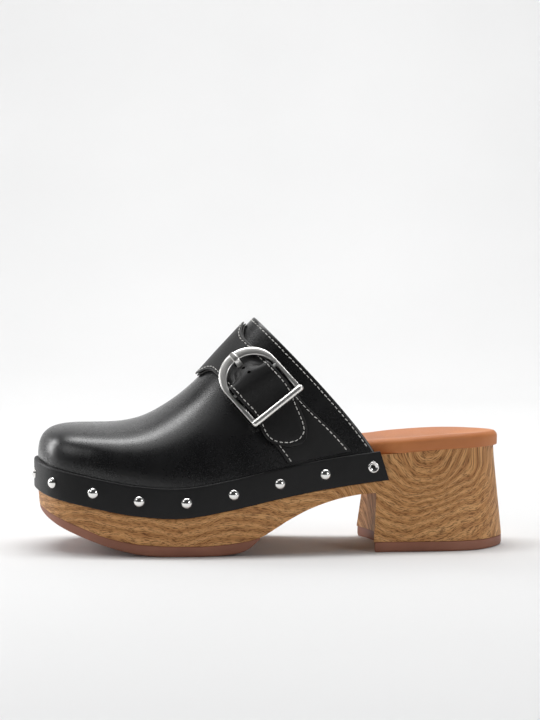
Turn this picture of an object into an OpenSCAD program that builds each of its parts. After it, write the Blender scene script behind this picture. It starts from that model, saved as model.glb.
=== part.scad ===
// Slip-on clog, left foot: a platform sole with a block heel, a closed leather upper
// nailed round its edge under a studded band, and a buckled strap over the instep.
// +Z is up, the toe points along -X, and the outer side of the foot faces -Y.
// The origin is on the ground, under the middle of the clog's bounding box.

/* [Sole] */
// Length over everything, from the toe's stud to the back of the heel
shoe_l = 253.9; // [244:0.1:262]
// Width of the sole at the ball, without the band
ball_w = 90; // [86:0.5:96]
// Thickness of the rubber under the heel
heel_tread_t = 5.3; // [4:0.1:7]
// How far the heel flares out from its top to the ground
heel_flare = 5; // [1:0.1:6]
// Thickness of the footbed at its edge
footbed_t = 7.7; // [6:0.1:9]

/* [Upper] */
// Thickness of the upper's leather
leather_t = 1.5; // [1.2:0.1:1.8]
// Thickness of the lining
lining_t = 0.8; // [0.6:0.1:1]
// Width of the studded band
band_w = 15.6; // [14:0.1:17]
// Thickness of the studded band
band_t = 2; // [1.5:0.1:2.5]

/* [Studs] */
// Diameter of a dome stud's head
stud_d = 5.8; // [4:0.1:7]
// Height of a dome stud's head
stud_h = 1.7; // [1:0.1:2.2]
// Distance between two studs along the band
stud_pitch = 24.1; // [22:0.1:24.2]

/* [Strap and buckle] */
// Half width of the strap under the buckle, in stations along the sole's edge
strap_half = 0.46; // [0.42:0.01:0.48]
// Thickness of each of the strap's two layers
strap_t = 0.95; // [0.8:0.05:1]
// Outer width of the buckle frame
buckle_w = 32.5; // [32:0.1:34]
// Length of the buckle frame, from its round end to the outside of its straight bar
buckle_l = 41; // [40:0.1:43]
// Thickness of the buckle frame
buckle_t = 2.2; // [2:0.1:2.3]

/* [Hidden] */
$fn = 48;

kx = shoe_l / 253.9;   // scale along the foot
ky = ball_w / 90;      // scale across the foot
gap = 0.1;             // air between two layers that lie on each other
puff_t = 0.6;          // thickness of the toe stiffener
cover_t = 1;           // thickness of the footbed's leather
ledge = leather_t + lining_t + 4 * gap;   // depth of the wood's rebate that takes the upper

// The sole's edge, from the toe tip (station 0) round to the back of the heel (station 10):
// distance from the toe, offset to the outer side, offset to the inner side
SOLE_EDGE = [
    [2, 3, 3], [11.5, -25, 30], [32.5, -38, 41], [58.5, -44, 45], [86.5, -45.2, 44], [116.5, -42, 37.5],
    [148.5, -36.8, 31.5], [180.5, -32.2, 29.8], [208.5, -29.8, 29.6], [234, -22.5, 22.5], [247.7, 0, 0]
];
// Where on the sole's middle line each of those stations looks inwards to
SOLE_SPINE = [26, 28.5, 38, 58.5, 86.5, 116.5, 148.5, 180.5, 203, 213, 217];
// Where the upper's ridge is above stations 0 to 7
RIDGE_D = [26, 28, 35, 48.5, 64.5, 82.5, 100.5, 118];
ridge_y = 3;
// Above 1, the throat's edge bows backwards between the band and the ridge
throat_bow = 1.15;
// How square the upper's section is at stations 0 to 7: 2 is an ellipse
SECTION_POWER = [3.3, 3.2, 3, 2.7, 2.45, 2.3, 2.25, 2.2];

// Heights by distance from the toe
RIDGE_Z = [[24.5, 66], [38.5, 66], [48.5, 67], [58.5, 69.8], [68.5, 75], [78.5, 82], [88.5, 91],
    [100.5, 104], [118.5, 123.2]];
BAND_Z = [[0, 40.8], [12.5, 37], [32.5, 32.9], [55.5, 29], [79.5, 27.8], [103.5, 31.5], [127.5, 36.6],
    [152.5, 41.2], [177.5, 44.6], [190, 45.9]];
WOOD_TOP_Z = [[0, 46.3], [12.5, 42.5], [32.5, 38.4], [55.5, 34.6], [79.5, 33.4], [103.5, 37.1], [127.5, 42.2],
    [152.5, 46.7], [177.5, 50.1], [197.5, 51.9], [218.5, 53.3], [246, 53.8]];
WOOD_UNDER_Z = [[0, 24], [7, 21.2], [17, 17.5], [29, 13.2], [39, 9.8], [49, 7.6], [59, 6.2], [73, 5.5],
    [93, 5.5], [107, 6.7], [119.5, 9.3], [126.5, 13.2], [133, 17.2], [139, 20.4], [145.5, 23.5], [158, 27.7],
    [171, 30.3], [181, 31]];
TREAD_Z = [[0, 22.6], [5, 18.8], [14, 14.1], [28, 8.7], [40.5, 4.7], [53, 1.7], [60, 0.7], [68, 0.1], [74, 0],
    [88, 0], [94, 0.1], [102, 0.5], [110, 1.8], [115, 4.4], [119.5, 8.6]];
heel_t = 7;            // station of the heel's front face
hollow_d = 6.5;        // how far the heel's front face is hollowed at its middle
band_end = 7.05;       // station where the band ends

// ------------------------------------------------------------ curves
// Value at x of a table [[x, value], ...], as a smooth curve through its rows
function row_of(t, x, i = 0) = i >= len(t) - 2 || x < t[i + 1][0] ? i : row_of(t, x, i + 1);
function slope_of(t, i) =
    let(a = max(i - 1, 0), b = min(i + 1, len(t) - 1)) (t[b][1] - t[a][1]) / (t[b][0] - t[a][0]);
function hermite(a, b, ma, mb, s) =
    (2 * s ^ 3 - 3 * s ^ 2 + 1) * a + (s ^ 3 - 2 * s ^ 2 + s) * ma
    + (3 * s ^ 2 - 2 * s ^ 3) * b + (s ^ 3 - s ^ 2) * mb;
function at(t, x0) =
    let(x = max(t[0][0], min(t[len(t) - 1][0], x0)), i = row_of(t, x), h = t[i + 1][0] - t[i][0])
    hermite(t[i][1], t[i + 1][1], slope_of(t, i) * h, slope_of(t, i + 1) * h, (x - t[i][0]) / h);

// Item of a list at a fractional index, as a smooth curve through the list
function on_list(p, u) =
    let(n = len(p) - 1, i = max(0, min(n - 1, floor(u))), a = p[max(i - 1, 0)], d = p[min(i + 2, n)])
    hermite(p[i], p[i + 1], (p[i + 1] - a) / (i > 0 ? 2 : 1), (d - p[i]) / (i < n - 1 ? 2 : 1), u - i);
function smooth(a, b, x) = let(s = max(0, min(1, (x - a) / (b - a)))) s * s * (3 - 2 * s);

// A list for stations 0 to n, mirrored to run from -n to n
function both_ways(p) = [for (i = [-(len(p) - 1):len(p) - 1]) p[abs(i)]];
EDGE = [for (i = [-11:11]) let(k = abs(i) > 10 ? 9 : abs(i), outer = abs(i) > 10 ? i > 0 : i < 0)
    [SOLE_EDGE[k][0], SOLE_EDGE[k][outer ? 1 : 2]]];
SPINE = both_ways(SOLE_SPINE);
RIDGE = both_ways(RIDGE_D);
POWER = both_ways(SECTION_POWER);

// Station t runs from -10 at the back of the heel, along the outer side to 0 at the toe tip, and back
// along the inner side to 10. Flat points here are [distance from the toe, offset across].
function edge(t) = on_list(EDGE, t + 11);
function edge_out(t) = let(e = edge(t + 0.01) - edge(t - 0.01)) [-e[1], e[0]] / norm(e);
function spine_d(t) = on_list(SPINE, t + 10);
mid_d = 125.25;        // the middle of the clog's length, from the toe
function placed(d, y, z) = [(d - mid_d) * kx, y * ky, z];
function edge_at(t, out, z) =
    let(e = edge(t), n = edge_out(t)) placed(e[0], e[1], z) + [n[0] * out, n[1] * out, 0];
// Distance from the toe, a share f of the way in from the sole's edge to its middle line
function hollow(t) = hollow_d * smooth(5.5, heel_t, abs(t)) * (1 - smooth(heel_t, 8.5, abs(t)));
function inward_d(t, f) = let(d = edge(t)[0]) d + (spine_d(t) - d) * f + hollow(t) * f * (2 - f);
// The point there, at the height that table gives
function within(t, f, out, table, up) =
    let(e = edge(t), d = inward_d(t, f), n = edge_out(t) * out * (1 - f))
    placed(d, e[1] * (1 - f), max(0, at(table, d)) + up) + [n[0], n[1], 0];
function stations(a, b, step) = let(n = round((b - a) / step)) [for (i = [0:n]) a + (b - a) * i / n];
// Stations from -last to last, all of them mirrored
function around(last, step) = stations(-last, last, last / round(last / step));

// ------------------------------------------------------------ upper
// Point of the upper at station t and angle f, from 0 at the sole to 90 on the ridge, `out` from its surface
function ridge_pos(t) = let(d = on_list(RIDGE, t + 7)) [d, at(RIDGE_Z, d)];
function ridge_up(d) = let(g = (at(RIDGE_Z, d + 1) - at(RIDGE_Z, d - 1)) / 2) [-g, 1] / norm([g, 1]);
function upper(t, f, out) =
    let(e = edge(t), n = edge_out(t), p = on_list(POWER, t + 7), q = ridge_pos(t), u = ridge_up(q[0]),
        c = cos(f) ^ (2 / p), s = sin(f) ^ (2 / p), sd = spine_d(t),
        ed = e[0] + n[0] * out, ey = e[1] + n[1] * out, ez = at(WOOD_TOP_Z, e[0]))
    placed(ed + (sd - ed) * (1 - c) + (q[0] + u[0] * out - sd) * s ^ throat_bow,
        ey + (ridge_y - ey) * (1 - c), ez + (q[1] + u[1] * out - ez) * s);
// The upper's skirt, which runs straight down behind the band
function skirt(t, out, low) = edge_at(t, out, at(BAND_Z, edge(t)[0]) - band_w / 2 + low);
function upper_normal(t, f) =
    let(a = upper(t + 0.02, f, 0) - upper(t - 0.02, f, 0), b = upper(t, f + 0.5, 0) - upper(t, f - 0.5, 0),
        n = cross(b, a)) n / norm(n);

// A closed sheet between two surfaces. Each column holds points from the middle line out to the rim on one
// surface and then from the rim back to the middle line on the other. Columns j and n-1-j share their middle.
module sheet(columns, ring = false) {
    n = len(columns);
    m = len(columns[0]);
    function id(j, k) =
        let(c = ring && j == n - 1 ? 0 : j) (k == 0 || k == m - 1 ? min(c, n - 1 - c) : c) * m + k;
    function tri(a, b, c) = a == b || b == c || a == c ? [] : [[a, b, c]];
    function quad(a, b, c, d) = concat(tri(a, b, c), tri(a, c, d));
    sides = [for (j = [0:n - 2]) for (k = [0:m - 2])
        each quad(id(j, k), id(j, k + 1), id(j + 1, k + 1), id(j + 1, k))];
    caps = ring ? [] : [for (k = [0:m / 2 - 2]) each concat(
        quad(id(0, k), id(0, m - 1 - k), id(0, m - 2 - k), id(0, k + 1)),
        quad(id(n - 1, k), id(n - 1, k + 1), id(n - 1, m - 2 - k), id(n - 1, m - 1 - k)))];
    polyhedron(points = [for (c = columns) each c], faces = concat(sides, caps), convexity = 8);
}

// A solid through a row of rings of points, closed at both ends
module sweep(rings) {
    n = len(rings);
    m = len(rings[0]);
    sides = [for (j = [0:n - 2]) for (k = [0:m - 1]) let(q = (k + 1) % m)
        each [[j * m + k, (j + 1) * m + q, j * m + q], [j * m + k, (j + 1) * m + k, (j + 1) * m + q]]];
    ends = [[for (k = [0:m - 1]) k], [for (k = [m - 1:-1:0]) (n - 1) * m + k]];
    polyhedron(points = [for (r = rings) each r], faces = concat(sides, ends), convexity = 8);
}

ANGLES = [for (i = [12:-1:0]) 90 * i / 12];
// Upper layer from `out` inwards by `thick`, over stations -last to last
function layer_column(t, out, thick, low) = concat(
    [for (f = ANGLES) upper(t, f, out)], [skirt(t, out, low), skirt(t, out - thick, low)],
    [for (i = [12:-1:0]) upper(t, ANGLES[i], out - thick)]);

module vamp() color("#1c1c1e") sheet([for (t = around(7, 0.25)) layer_column(t, 0, leather_t, 0.5)]);

puff_last = 2.5;
module toe_puff() color("#8c7b60")
    sheet([for (t = around(puff_last, 0.25)) layer_column(t, -leather_t - gap, puff_t, band_w - 1.5)]);

function lining_out(t) = -leather_t - 2 * gap - (puff_t + gap) * (1 - smooth(puff_last + 0.1, 3.4, abs(t)));
module vamp_lining() color("#b98a5e")
    sheet([for (t = around(7, 0.25)) layer_column(t, lining_out(t), lining_t, 0.5)]);

// ------------------------------------------------------------ sole
function wood_cut(t) = at(BAND_Z, edge(t)[0]) - band_w / 2 - gap;
function toe_rake(t, z) = -1 * (1 - smooth(1, 3, abs(t))) * max(0, (33 - z) / 12);
// The heel flares from just below the band's end, and behind it from below the footbed
function flare_top(t) = 36.5 + 13.5 * smooth(7.3, 8.2, abs(t));
function heel_out(t, z) =
    heel_flare * (0.3 + 0.7 * smooth(heel_t, 9, abs(t))) * max(0, (flare_top(t) - z) / flare_top(t));
heel_lean_d = 3.3;     // how far the middle of the heel's front leans towards the toe at the ground
heel_twist_d = 1.3;    // how much more its inner side leans, and how much less its outer side
function heel_lean(t, z, f = 0) = abs(t) > heel_t + 0.01 ? [0, 0, 0]
    : [-(heel_lean_d + sign(t) * heel_twist_d * (1 - f)) * max(0, (31 - z) / 31), 0, 0];
// Point of the heel's bottom, a share f of the way in from its edge
function heel_bottom(t, f, z) =
    let(e = edge(t), n = edge_out(t) * heel_out(t, z) * (1 - f))
    placed(inward_d(t, f), e[1] * (1 - f), z) + [n[0], n[1], 0] + heel_lean(t, z, f);
INWARD = [0.2, 0.4, 0.6, 0.8, 1];
heel_steps = 4;
function forefoot_column(t) =
    let(in = -ledge - (puff_t + gap) * (1 - smooth(puff_last, 3.4, abs(t))), cut = wood_cut(t),
        d = edge(t)[0], low = at(WOOD_UNDER_Z, d))
    concat([within(t, 1, 0, WOOD_TOP_Z, 0), edge_at(t, in, at(WOOD_TOP_Z, d)), edge_at(t, in, cut)],
        [for (i = [0:heel_steps]) let(z = cut - 0.01 + (low - cut) * i / heel_steps)
            edge_at(t, toe_rake(t, z), z)],
        [for (f = INWARD) within(t, f, toe_rake(t, low), WOOD_UNDER_Z, 0)]);
function heel_column(t) =
    let(rebate = abs(t) < band_end, in = rebate ? -ledge : 0, d = edge(t)[0], top = at(WOOD_TOP_Z, d),
        cut = rebate ? wood_cut(t) : top - 1, low = heel_tread_t + 0.05)
    concat([within(t, 1, 0, WOOD_TOP_Z, 0), edge_at(t, in, top), edge_at(t, in, cut)],
        [for (i = [0:heel_steps]) let(z = cut - 0.01 + (low - cut) * i / heel_steps)
            edge_at(t, heel_out(t, z), z) + heel_lean(t, z)],
        [for (f = INWARD) heel_bottom(t, f, low)]);
tread_last = 5.09;     // station where the forefoot rubber ends
FORE_STATIONS = concat(stations(-heel_t + 0.001, -tread_last - 0.24, 0.25), around(tread_last, 0.25),
    stations(tread_last + 0.24, heel_t - 0.001, 0.25));
heel_stations = concat([heel_t], stations(band_end, 10, 0.2));
module wooden_sole() color("#a8754a") sheet(concat(
    [for (i = [len(heel_stations) - 1:-1:0]) heel_column(-heel_stations[i])],
    [for (t = FORE_STATIONS) forefoot_column(t)],
    [for (t = heel_stations) heel_column(t)]), ring = true);

module forefoot_tread() color("#7a4c3c") sheet([for (t = around(tread_last, 0.25))
    let(low = at(WOOD_UNDER_Z, edge(t)[0]), out = toe_rake(t, low))
    concat([for (f = concat(reversed(INWARD), [0])) within(t, f, out, WOOD_UNDER_Z, -gap)],
        [for (f = concat([0], INWARD)) within(t, f, out - 0.4, TREAD_Z, 0)])]);

module heel_tread() color("#7a4c3c") {
    outline = concat([for (t = concat(stations(heel_t, 10, 0.15), stations(-9.85, -heel_t, 0.15))) [t, 0]],
        [for (f = INWARD) [-heel_t, f]], [for (f = [0.8, 0.6, 0.4, 0.2]) [heel_t, f]]);
    linear_extrude(height = heel_tread_t)
        polygon([for (o = outline) let(p = heel_bottom(o[0], o[1], heel_tread_t)) [p[0], p[1]]]);
}

bed_gap = 0.3;         // air under the footbed, where its glue is
// How far the footbed's edge stands out from the sole's edge
function bed_out(t) = -4.2 + 5 * smooth(7, 7.5, abs(t)) + 1.2 * smooth(9, 10, abs(t));
function bed_dish(t, f) = -2.5 * f * smooth(5.5, 7.5, abs(t));
function bed_column(t, shrink, low) =
    let(out = bed_out(t) - shrink, high = footbed_t - shrink)
    concat([for (f = [1, 0.5, 0.2]) within(t, f, out, WOOD_TOP_Z, high + 0.3 + bed_dish(t, f))],
        [within(t, 0, out - 1.6, WOOD_TOP_Z, high), within(t, 0, out, WOOD_TOP_Z, high - 1.8),
            within(t, 0, out, WOOD_TOP_Z, low)]);
function reversed(p) = [for (i = [len(p) - 1:-1:0]) p[i]];
module footbed_cover() color("#c8895a") sheet([for (t = around(10, 0.25))
    concat(bed_column(t, 0, bed_gap), reversed(bed_column(t, cover_t, bed_gap)))], ring = true);
module footbed_foam() color("#d9cdb8") sheet([for (t = around(10, 0.25))
    concat(bed_column(t, cover_t + 2 * gap, bed_gap), [for (f = [0, 0.2, 0.5, 1])
        within(t, f, bed_out(t) - cover_t - 2 * gap, WOOD_TOP_Z, bed_gap)])], ring = true);

// ------------------------------------------------------------ band and studs
// Corners of the band's section: distance out from its middle face, and height from its middle line
BAND_SECTION = [[gap, -0.5], [band_t - 0.5, -0.5], [band_t, -0.46], [band_t, 0.44],
    [band_t - 0.6, 0.5], [gap, 0.5]];
band_slant = 0.2;      // how far the band's ends lean, in stations
module studded_band() color("#19191b") sweep([for (t = around(band_end, 0.25)) [for (c = BAND_SECTION)
    let(lean = band_slant * (0.5 - c[1]) * (abs(t) == band_end ? sign(t) : 0), d = edge(t + lean)[0])
    edge_at(t + lean, c[0], at(BAND_Z, d) + c[1] * band_w)]]);

// Length along the sole's edge from the toe tip against the station, on one side
edge_step = 0.05;
function edge_lengths(side) = [for (t = 0, s = 0; t < 7.2;
    s = s + norm(edge(side * (t + edge_step)) - edge(side * t)), t = t + edge_step)
    [s, t]];
OUTER_LENGTHS = edge_lengths(-1);
INNER_LENGTHS = edge_lengths(1);
studs_a_side = 7;
first_stud = 8.4;      // distance of the toe's stud from the toe tip, along the outer side
STUD_STATIONS = concat([for (i = [studs_a_side:-1:0]) -lookup(first_stud + i * stud_pitch, OUTER_LENGTHS)],
    [for (i = [1:studs_a_side]) lookup(i * stud_pitch - first_stud, INNER_LENGTHS)]);
rear_nail_t = 6.93;
// Places a child, made along +Z, on the outside of the band at station t
module on_band(t) {
    p = edge_at(t, band_t + gap / 2, at(BAND_Z, edge(t)[0]));
    n = edge_out(t);
    translate(p) rotate([90, 0, atan2(n[1], n[0]) + 90]) children();
}
shank_l = 8.5;
dome_r = (stud_d ^ 2 / 4 + stud_h ^ 2) / (2 * stud_h);
module studs() color("silver") for (t = STUD_STATIONS) on_band(t) {
    intersection() {
        translate([0, 0, stud_h - dome_r]) sphere(r = dome_r, $fn = 32);
        cylinder(d = stud_d, h = stud_h, $fn = 32);
    }
    translate([0, 0, -shank_l]) cylinder(d = 1.3, h = shank_l + 0.3, $fn = 16);
}
module rear_eyelets() color("silver") for (side = [-1, 1])
    on_band(side * rear_nail_t) rotate_extrude($fn = 32)
        polygon([[0.8, 0.12], [3, 0.12], [2.9, 0.5], [2.3, 0.9], [1.9, 0.8], [1.4, 0.45], [0.8, 0.4]]);
module rear_nails() color("dimgray") for (side = [-1, 1]) on_band(side * rear_nail_t) {
    translate([0, 0, 0.5]) cylinder(d1 = 2.1, d2 = 1.6, h = 0.4, $fn = 24);
    translate([0, 0, -shank_l]) cylinder(d = 1.3, h = shank_l + 0.5, $fn = 16);
}

// ------------------------------------------------------------ strap
// Angle of the centre bar, the strap's tip and the strap's inner end on the upper's section
bar_f = 42;
tip_f = 9;
bar_h = 3.8;           // the centre bar's axis above the upper
bar_r = 1.1;           // radius of the centre bar
loop_t = 0.9;          // thickness of the leather loop round it
tab_t = 1.1;           // thickness of the tab panel
// The strap's middle line and half width, in stations, against the angle up the outer side
function strap_mid(f) = -5.89 - 0.19 * smooth(12, 33, f) + 0.04 * smooth(60, 90, f);
function strap_wide(f) =
    strap_half - 0.07 * (1 - smooth(22, 36, f)) + 0.28 * smooth(66, 90, min(f, 180 - f)) ^ 1.5;
// The upper at station t and angle f, where f runs past 90 down the inner side
function over(t, f, out) = f <= 90 ? upper(t, f, out) : upper(-t, 180 - f, out);
// How far a point is along the strap from the centre bar, towards the tip
mm_per_degree = 1.06;
function along(f) = (bar_f - f) * mm_per_degree;
// How far the strap's underside is from the upper, at a share k of the way from its middle to its edge
function strap_lift(f, k) =
    let(x = along(f), dome = 1 - smooth(0.25, 0.8, abs(k)) * smooth(1.5, 7.5, -x),
        fall = x < 0 ? smooth(1.5, 16.5, -x) : smooth(1.5, 15, x))
    0.25 + (bar_h + bar_r + loop_t + 0.3) * (1 - fall) * dome + (tab_t + 0.3) * smooth(7, 14, x);
function strap_side(f, k) = k * strap_wide(f) * sqrt(1 - max(0, (tip_f + 12 - f) / 12.1) ^ 2.3);
STRAP_ANGLES = concat(stations(tip_f, tip_f + 9, 1.5), stations(21, 27, 3), stations(28.5, 64.5, 1.5),
    stations(67.5, 178, 3.2));
layers_gap = 0.45;     // air between the strap and its backing
function strap_ring(f, out, thick) =
    let(across = [-1, -0.75, -0.5, -0.2, 0.2, 0.5, 0.75, 1])
    concat([for (k = across) over(strap_mid(min(f, 90)) + strap_side(f, k), f, strap_lift(f, k) + out)],
        [for (i = [len(across) - 1:-1:0]) over(strap_mid(min(f, 90)) + strap_side(f, across[i]), f,
            strap_lift(f, across[i]) + out + thick)]);
// The slot that the prong comes up through
module prong_hole() in_buckle() translate([-16, -2.1, -8]) cube([6.7, 4.2, 12]);
module instep_strap() color("#1a1a1c") difference() {
    sweep([for (f = STRAP_ANGLES) strap_ring(f, strap_t + layers_gap, strap_t)]);
    prong_hole();
}
module strap_backing() color("#2a2220") difference() {
    sweep([for (f = STRAP_ANGLES) strap_ring(f, 0, strap_t)]);
    prong_hole();
}

// ------------------------------------------------------------ tab and buckle
tab_top_f = 36;
tab_low_f = 2.5;
// The tab's two edges, in stations
function tab_edge(f, k) = let(heel = -6.64 + 0.12 * smooth(0, 25, f), toe = -5.6)
    heel + (toe - heel) * (k + 1) / 2;
TAB_ANGLES = stations(tab_low_f, tab_top_f, 3.35);
module buckle_tab() color("#1d1d1f") sweep([for (f = TAB_ANGLES) concat(
    [for (k = [-1, -0.5, 0, 0.5, 1]) upper(tab_edge(f, k), f, 0.15)],
    [for (k = [1, 0.5, 0, -0.5, -1]) upper(tab_edge(f, k), f, 0.15 + tab_t)])]);

// The buckle's own frame: the centre bar lies along Y through its origin, X runs down the strap towards the
// tip, and Z points away from the foot
bar_t = strap_mid(bar_f);
bar_at = upper(bar_t, bar_f, bar_h);
bar_z = upper_normal(bar_t, bar_f);
bar_down = upper(bar_t, bar_f - 1, 0) - upper(bar_t, bar_f + 1, 0);
bar_y = let(c = cross(bar_z, bar_down)) c / norm(c);
bar_x = cross(bar_y, bar_z);
module in_buckle() multmatrix([for (i = [0:2]) [bar_x[i], bar_y[i], bar_z[i], bar_at[i]]]) children();

apex_w = 5.3;          // width of the frame at its round end
leg_w = 2.6;           // width of its legs
bend_r = 250;          // radius that the frame is bent to
hole_gap = 0.06;       // running clearance on the centre bar
knuckle_w = 4;         // width of the prong's knuckle
loop_r = bar_r + hole_gap + loop_t;
module along_y(w) rotate([90, 0, 0]) translate([0, 0, -w / 2]) linear_extrude(height = w) children();
module buckle_outline() difference() {
    union() {
        translate([-(buckle_l - buckle_w) / 2, 0]) circle(d = buckle_w, $fn = 96);
        translate([-(buckle_l - buckle_w) / 2, -buckle_w / 2])
            square([buckle_l - buckle_w / 2 - 1.2, buckle_w]);
    }
    inner_d = buckle_w - 2 * leg_w;
    translate([-buckle_l / 2 + apex_w + inner_d / 2, 0]) circle(d = inner_d, $fn = 96);
    translate([-buckle_l / 2 + apex_w + inner_d / 2, -inner_d / 2]) square([buckle_l, inner_d]);
}
end_bar_x = buckle_l / 2 - 1.8;
end_bar_z = 0.5;
module buckle_frame() color("#b9bcc0") in_buckle() difference() {
    union() {
        intersection() {
            translate([0, 0, -8]) linear_extrude(height = 16) buckle_outline();
            translate([0, 0, -bend_r]) along_y(2 * buckle_w) difference() {
                circle(r = bend_r + buckle_t / 2, $fn = 360);
                circle(r = bend_r - buckle_t / 2, $fn = 360);
            }
        }
        translate([end_bar_x, 0, end_bar_z]) along_y(buckle_w) intersection() {
            circle(r = 1.8);
            translate([-2, -0.9]) square([4, 3]);
        }
    }
    along_y(buckle_w - 1.6) circle(r = bar_r);
}
module centre_bar() color("#9ea2a6") in_buckle() along_y(buckle_w - 1.6) circle(r = bar_r);

module buckle_loop() color("#1d1d1f") in_buckle() difference() {
    union() {
        along_y(buckle_w - 2 * leg_w - 3) circle(r = loop_r);
        translate([0, -(buckle_w - 2 * leg_w - 3) / 2, -loop_r]) cube([8, buckle_w - 2 * leg_w - 3, loop_t]);
    }
    along_y(2 * buckle_w) circle(r = bar_r + hole_gap);
    translate([-5, -knuckle_w / 2 - 0.5, -5]) cube([9, knuckle_w + 1, 10]);
}

prong_w = 3.2;
prong_t = 1.4;
PRONG_LINE = [[0, -1.3], [-2.5, -2.4], [-6.5, -2.9], [-10, -3.1], [-14.2, 1.15], [-16, 1.5], [-19.8, 1.35]];
module buckle_prong() color("#c3c6ca") in_buckle() difference() {
    union() {
        along_y(knuckle_w) circle(r = bar_r + hole_gap + 0.9);
        along_y(prong_w) polygon(concat([for (p = PRONG_LINE) p - [0, prong_t / 2]],
            reversed([for (p = PRONG_LINE) p + [0, prong_t / 2]])));
    }
    along_y(2 * knuckle_w) circle(r = bar_r + hole_gap);
}

wooden_sole();
forefoot_tread();
heel_tread();
footbed_foam();
footbed_cover();
vamp();
toe_puff();
vamp_lining();
studded_band();
studs();
rear_eyelets();
rear_nails();
instep_strap();
strap_backing();
buckle_tab();
buckle_loop();
buckle_frame();
centre_bar();
buckle_prong();
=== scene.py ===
import math

import bmesh
import bpy
import numpy as np
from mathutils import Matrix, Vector


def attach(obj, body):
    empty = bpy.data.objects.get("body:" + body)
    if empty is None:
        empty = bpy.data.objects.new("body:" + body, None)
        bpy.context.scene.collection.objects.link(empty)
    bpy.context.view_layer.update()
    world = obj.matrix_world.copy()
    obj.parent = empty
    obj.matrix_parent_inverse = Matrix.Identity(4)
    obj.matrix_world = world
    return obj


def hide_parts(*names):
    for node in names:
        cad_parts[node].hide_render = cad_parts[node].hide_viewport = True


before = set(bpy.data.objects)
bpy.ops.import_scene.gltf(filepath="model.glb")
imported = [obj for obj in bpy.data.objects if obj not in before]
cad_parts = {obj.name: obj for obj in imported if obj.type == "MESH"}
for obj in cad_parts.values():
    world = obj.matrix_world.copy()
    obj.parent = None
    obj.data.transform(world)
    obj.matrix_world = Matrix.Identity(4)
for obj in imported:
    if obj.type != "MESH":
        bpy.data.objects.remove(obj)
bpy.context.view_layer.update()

MM = 0.001
ROOT = "clog"

# ---------------------------------------------------------------- shape of the clog, in millimetres
# The same driving tables as the CAD source. Each row of the sole's edge holds the distance from the
# toe, the offset to the outer side and the offset to the inner side.
SOLE_EDGE = [
    (2, 3, 3), (11.5, -25, 30), (32.5, -38, 41), (58.5, -44, 45), (86.5, -45.2, 44), (116.5, -42, 37.5),
    (148.5, -36.8, 31.5), (180.5, -32.2, 29.8), (208.5, -29.8, 29.6), (234, -22.5, 22.5), (247.7, 0, 0),
]
SOLE_SPINE = [26, 28.5, 38, 58.5, 86.5, 116.5, 148.5, 180.5, 203, 213, 217]
RIDGE_D = [26, 28, 35, 48.5, 64.5, 82.5, 100.5, 118]
SECTION_POWER = [3.3, 3.2, 3, 2.7, 2.45, 2.3, 2.25, 2.2]
RIDGE_Z = [(24.5, 66), (38.5, 66), (48.5, 67), (58.5, 69.8), (68.5, 75), (78.5, 82), (88.5, 91), (100.5, 104),
           (118.5, 123.2)]
BAND_Z = [(0, 40.8), (12.5, 37), (32.5, 32.9), (55.5, 29), (79.5, 27.8), (103.5, 31.5), (127.5, 36.6),
          (152.5, 41.2), (177.5, 44.6), (190, 45.9)]
WOOD_TOP_Z = [(0, 46.3), (12.5, 42.5), (32.5, 38.4), (55.5, 34.6), (79.5, 33.4), (103.5, 37.1), (127.5, 42.2),
              (152.5, 46.7), (177.5, 50.1), (197.5, 51.9), (218.5, 53.3), (246, 53.8)]
WOOD_UNDER_Z = [(0, 24), (7, 21.2), (17, 17.5), (29, 13.2), (39, 9.8), (49, 7.6), (59, 6.2), (73, 5.5),
                (93, 5.5), (107, 6.7), (119.5, 9.3), (126.5, 13.2), (133, 17.2), (139, 20.4),
                (145.5, 23.5), (158, 27.7), (171, 30.3), (181, 31)]
TREAD_Z = [(0, 22.6), (5, 18.8), (14, 14.1), (28, 8.7), (40.5, 4.7), (53, 1.7), (60, 0.7), (68, 0.1), (74, 0),
           (88, 0), (94, 0.1), (102, 0.5), (110, 1.8), (115, 4.4), (119.5, 8.6)]
MID_D = 125.25
RIDGE_Y = 3
THROAT_BOW = 1.15
LEATHER_T = 1.5
LINING_T = 0.8
PUFF_T = 0.6
GAP = 0.1
BAND_W = 15.6
BAND_T = 2
BAND_END = 7.05
HEEL_T = 7
HOLLOW_D = 6.5
HEEL_LEAN_D = 3.3
HEEL_TWIST_D = 1.3
HEEL_TREAD_T = 5.3
HEEL_FLARE = 5
FOOTBED_T = 7.7
LEDGE = LEATHER_T + LINING_T + 4 * GAP


def hermite(a, b, ma, mb, s):
    """The cubic from a to b with these slopes at its ends."""
    start = (2 * s**3 - 3 * s**2 + 1) * a + (s**3 - 2 * s**2 + s) * ma
    return start + (3 * s**2 - 2 * s**3) * b + (s**3 - s**2) * mb


def at(table, x):
    """Value at x of a table of (x, value), as a smooth curve through its rows."""
    rows = np.array(table, float)
    x = np.clip(np.asarray(x, float), rows[0, 0], rows[-1, 0])
    i = np.clip(np.searchsorted(rows[:, 0], x, side="right") - 1, 0, len(rows) - 2)
    before, after = np.maximum(i - 1, 0), np.minimum(i + 2, len(rows) - 1)
    slope_a = (rows[i + 1, 1] - rows[before, 1]) / (rows[i + 1, 0] - rows[before, 0])
    slope_b = (rows[after, 1] - rows[i, 1]) / (rows[after, 0] - rows[i, 0])
    h = rows[i + 1, 0] - rows[i, 0]
    return hermite(rows[i, 1], rows[i + 1, 1], slope_a * h, slope_b * h, (x - rows[i, 0]) / h)


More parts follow.
